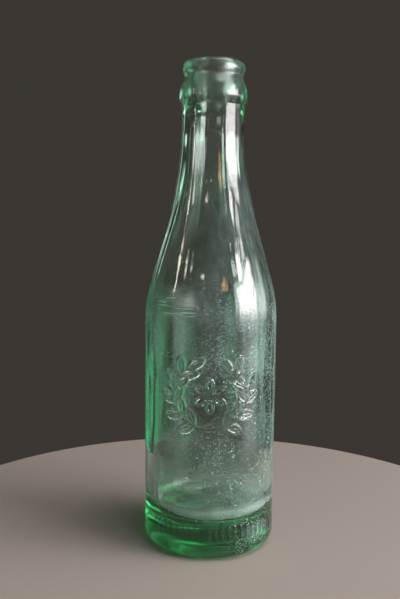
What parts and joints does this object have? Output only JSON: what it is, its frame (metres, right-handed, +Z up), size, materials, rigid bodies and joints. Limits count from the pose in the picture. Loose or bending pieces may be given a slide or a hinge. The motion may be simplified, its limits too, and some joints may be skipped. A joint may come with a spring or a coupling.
{
  "type": "glass drinks bottle",
  "caption": "Open, empty glass drinks bottle with a straight round body, a long conical shoulder and a crown finish with a collar.",
  "frame": {"origin": "centre of the ring that the bottle stands on, on the bottle's axis", "axes": "+Z up along the bottle's axis to the mouth; -Y is the front, where the raised ornament is"},
  "size_m": [0.0572, 0.0572, 0.2074],
  "materials": {
    "aqua_glass": "pale blue-green soda-lime glass, deeper green where it is thick, glossy with light case wear and fine seeds"
  },
  "bodies": {
    "root": {"glass_bottle": "aqua_glass"}
  },
  "joints": []
}
